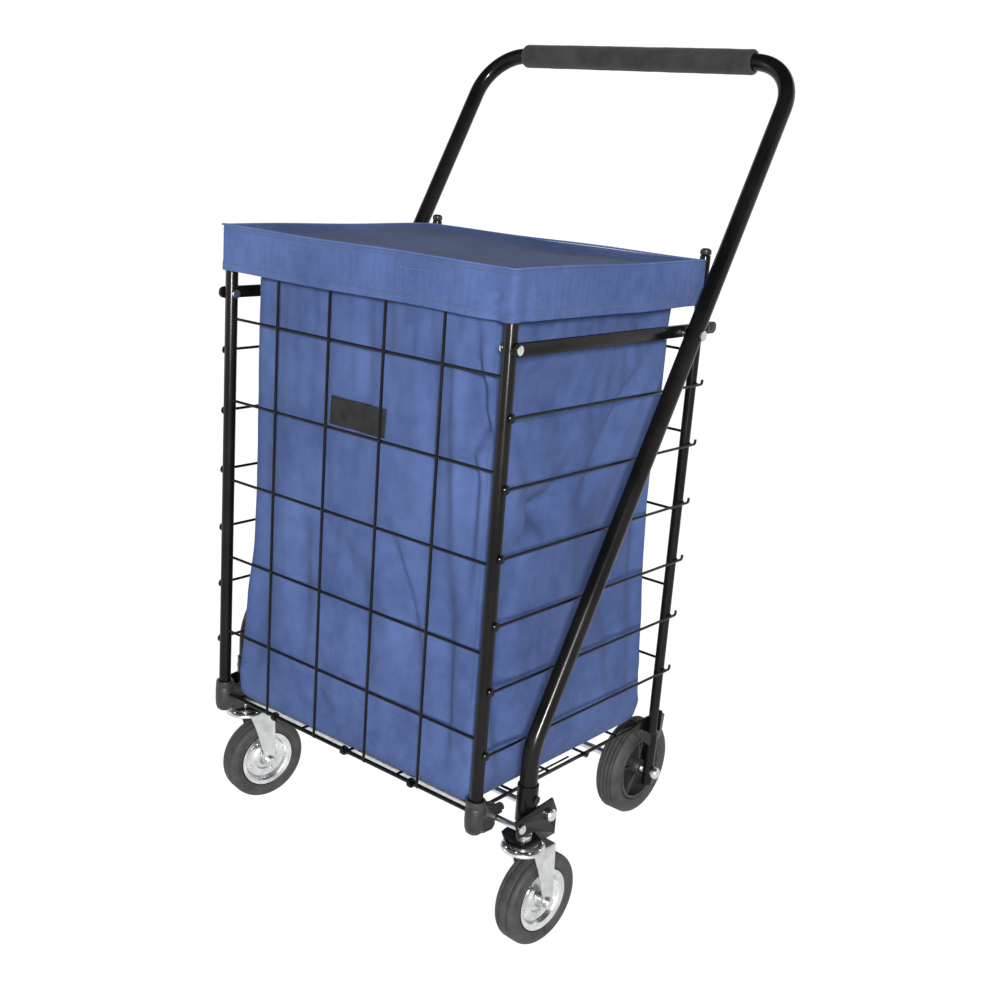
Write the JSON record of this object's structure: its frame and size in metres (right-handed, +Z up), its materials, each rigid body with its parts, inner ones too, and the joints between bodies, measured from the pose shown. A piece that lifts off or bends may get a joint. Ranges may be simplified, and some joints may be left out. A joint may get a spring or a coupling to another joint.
{
  "type": "folding shopping trolley",
  "caption": "Folding wire shopping trolley on wheels with a hooded fabric liner, swivel front casters and a tall U-shaped handle with a foam grip.",
  "frame": {"origin": "on the floor, under the centre of the overall box", "axes": "+X to the trolley's right seen from its front, +Y to the back where the user walks, +Z up"},
  "size_m": [0.5696, 0.6498, 1.0331],
  "materials": {
    "black_steel": "glossy black powder coat",
    "black_plastic": "moulded black plastic",
    "zinc": "bright zinc plate",
    "rubber": "matt dark grey rubber",
    "foam": "matt charcoal foam",
    "navy_fabric": "woven navy polyester",
    "dark_patch": "blank woven label"
  },
  "bodies": {
    "rear_frame": {"rear_frame": "black_steel", "rear_leg_left": "black_steel", "rear_leg_right": "black_steel", "rear_axle": "zinc", "rear_tube_plug_left": "black_plastic", "rear_tube_plug_right": "black_plastic", "liner_bag": "navy_fabric", "liner_hood": "navy_fabric", "label_patch": "dark_patch"},
    "side_bars": {"side_bar_left": "black_steel", "side_bar_right": "black_steel", "bar_front_rivet_left": "zinc", "bar_front_rivet_right": "zinc", "bar_rear_bolt_left": "zinc", "bar_rear_bolt_right": "zinc", "handle_pivot_bolt_left": "zinc", "handle_pivot_bolt_right": "zinc"},
    "front_panel": {"front_panel": "black_steel", "corner_cap_left": "black_plastic", "corner_cap_right": "black_plastic"},
    "handle": {"handle_frame": "black_steel", "handle_grip": "foam", "leg_collar_left": "black_steel", "leg_collar_right": "black_steel", "caster_bracket_left": "black_steel", "caster_bracket_right": "black_steel", "front_cross_rod": "zinc", "rear_cross_rod": "zinc", "caster_stem_left": "zinc", "caster_stem_right": "zinc"},
    "floor": {"floor_grid": "black_steel"},
    "latch": {"floor_latch": "black_steel"},
    "side_wires_1": {"side_wire_1_left": "black_steel", "side_wire_1_right": "black_steel"},
    "side_wires_2": {"side_wire_2_left": "black_steel", "side_wire_2_right": "black_steel"},
    "side_wires_3": {"side_wire_3_left": "black_steel", "side_wire_3_right": "black_steel"},
    "side_wires_4": {"side_wire_4_left": "black_steel", "side_wire_4_right": "black_steel"},
    "side_wires_5": {"side_wire_5_left": "black_steel", "side_wire_5_right": "black_steel"},
    "side_wires_6": {"side_wire_6_left": "black_steel", "side_wire_6_right": "black_steel"},
    "caster_fork_left": {"caster_fork_left": "zinc", "caster_axle_left": "zinc"},
    "caster_wheel_left": {"caster_tyre_left": "rubber", "caster_rim_left": "zinc"},
    "rear_wheel_left": {"rear_tyre_left": "rubber", "rear_hub_left": "black_plastic"},
    "caster_fork_right": {"caster_fork_right": "zinc", "caster_axle_right": "zinc"},
    "caster_wheel_right": {"caster_tyre_right": "rubber", "caster_rim_right": "zinc"},
    "rear_wheel_right": {"rear_tyre_right": "rubber", "rear_hub_right": "black_plastic"}
  },
  "joints": [
    {"name": "basket_fold", "type": "hinge", "parent": "rear_frame", "child": "side_bars", "pos_m": [-0.00072, 0.13428, 0.70272], "axis": [-1, 0, 0], "range_deg": [0, 75], "deforming": ["liner_bag", "liner_hood", "label_patch"]},
    {"name": "side_wires_1_fold", "type": "hinge", "parent": "rear_frame", "child": "side_wires_1", "pos_m": [-0.00072, 0.07673, 0.23485], "axis": [-1, 0, 0], "range_deg": [0, 75]},
    {"name": "side_wires_2_fold", "type": "hinge", "parent": "rear_frame", "child": "side_wires_2", "pos_m": [-0.00072, 0.08643, 0.31375], "axis": [-1, 0, 0], "range_deg": [0, 75]},
    {"name": "side_wires_3_fold", "type": "hinge", "parent": "rear_frame", "child": "side_wires_3", "pos_m": [-0.00072, 0.09614, 0.39266], "axis": [-1, 0, 0], "range_deg": [0, 75]},
    {"name": "side_wires_4_fold", "type": "hinge", "parent": "rear_frame", "child": "side_wires_4", "pos_m": [-0.00072, 0.10585, 0.47156], "axis": [-1, 0, 0], "range_deg": [0, 75]},
    {"name": "side_wires_5_fold", "type": "hinge", "parent": "rear_frame", "child": "side_wires_5", "pos_m": [-0.00072, 0.11556, 0.55047], "axis": [-1, 0, 0], "range_deg": [0, 75]},
    {"name": "side_wires_6_fold", "type": "hinge", "parent": "rear_frame", "child": "side_wires_6", "pos_m": [-0.00072, 0.12526, 0.62937], "axis": [-1, 0, 0], "range_deg": [0, 75]},
    {"name": "front_panel_swing", "type": "hinge", "parent": "side_bars", "child": "front_panel", "pos_m": [-0.00072, -0.24287, 0.74912], "axis": [1, 0, 0], "range_deg": [0, 75]},
    {"name": "handle_fold", "type": "hinge", "parent": "side_bars", "child": "handle", "pos_m": [-0.00072, 0.08112, 0.70674], "axis": [1, 0, 0], "range_deg": [0, 90]},
    {"name": "floor_fold", "type": "hinge", "parent": "front_panel", "child": "floor", "pos_m": [-0.00072, -0.3099, 0.20423], "axis": [1, 0, 0], "range_deg": [0, 90]},
    {"name": "latch_lift", "type": "hinge", "parent": "floor", "child": "latch", "pos_m": [0.21778, -0.07552, 0.16844], "axis": [-1, 0, 0], "range_deg": [0, 75]},
    {"name": "caster_swivel_left", "type": "hinge", "parent": "handle", "child": "caster_fork_left", "pos_m": [-0.25732, -0.25477, 0.14707], "axis": [0, 0.1221, 0.9925], "continuous": true},
    {"name": "caster_roll_left", "type": "hinge", "parent": "caster_fork_left", "child": "caster_wheel_left", "pos_m": [-0.2516, -0.23586, 0.0596], "axis": [0.9816, -0.1894, 0.0233], "continuous": true},
    {"name": "caster_swivel_right", "type": "hinge", "parent": "handle", "child": "caster_fork_right", "pos_m": [0.25588, -0.25477, 0.14707], "axis": [0, 0.1221, 0.9925], "continuous": true},
    {"name": "caster_roll_right", "type": "hinge", "parent": "caster_fork_right", "child": "caster_wheel_right", "pos_m": [0.25797, -0.23539, 0.05955], "axis": [0.9976, -0.0692, 0.0085], "continuous": true},
    {"name": "rear_roll_left", "type": "hinge", "parent": "rear_frame", "child": "rear_wheel_left", "pos_m": [-0.18972, 0.07636, 0.06804], "axis": [1, 0, 0], "continuous": true},
    {"name": "rear_roll_right", "type": "hinge", "parent": "rear_frame", "child": "rear_wheel_right", "pos_m": [0.18828, 0.07636, 0.06804], "axis": [1, 0, 0], "continuous": true}
  ],
  "couplings": [
    {"joint": "side_wires_1_fold", "follows": "basket_fold", "ratio": 1},
    {"joint": "side_wires_2_fold", "follows": "basket_fold", "ratio": 1},
    {"joint": "side_wires_3_fold", "follows": "basket_fold", "ratio": 1},
    {"joint": "side_wires_4_fold", "follows": "basket_fold", "ratio": 1},
    {"joint": "side_wires_5_fold", "follows": "basket_fold", "ratio": 1},
    {"joint": "side_wires_6_fold", "follows": "basket_fold", "ratio": 1},
    {"joint": "front_panel_swing", "follows": "basket_fold", "ratio": 1},
    {"joint": "handle_fold", "follows": "basket_fold", "ratio": 1.2},
    {"joint": "floor_fold", "follows": "basket_fold", "ratio": 1.2}
  ]
}
